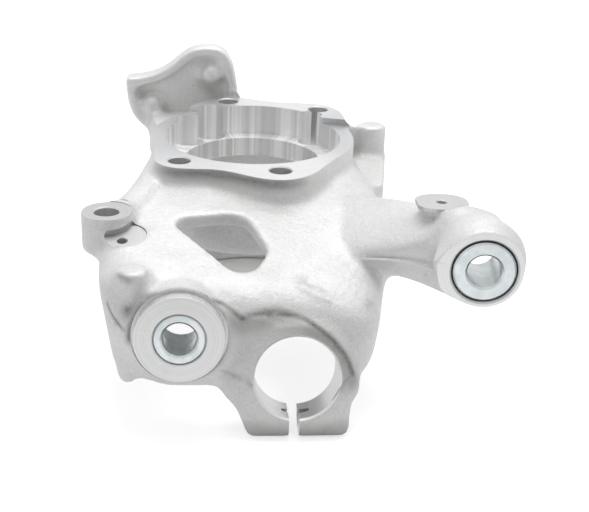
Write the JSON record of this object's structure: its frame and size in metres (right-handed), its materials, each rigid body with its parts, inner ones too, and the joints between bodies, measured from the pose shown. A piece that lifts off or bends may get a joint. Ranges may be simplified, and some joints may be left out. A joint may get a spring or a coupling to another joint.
{
  "type": "steering knuckle",
  "caption": "Hollow cast knuckle with a bolted hub flange, split clamp, two sleeved bush bosses, side ear and upright rear bracket.",
  "frame": {"origin": "centre of the hub bore on the flange face", "axes": "+Z out of the hub flange along the hub axis, -Y towards the clamp and bush faces, +X towards the long arm"},
  "size_m": [0.2086, 0.2512, 0.1313],
  "materials": {
    "cast_aluminium": "shot-blasted casting with machined faces",
    "plated_steel": "zinc plated, satin",
    "bush_rubber": "moulded"
  },
  "bodies": {
    "root": {"casting": "cast_aluminium", "left_sleeve": "plated_steel", "right_rubber": "bush_rubber", "right_sleeve": "plated_steel"}
  },
  "joints": []
}
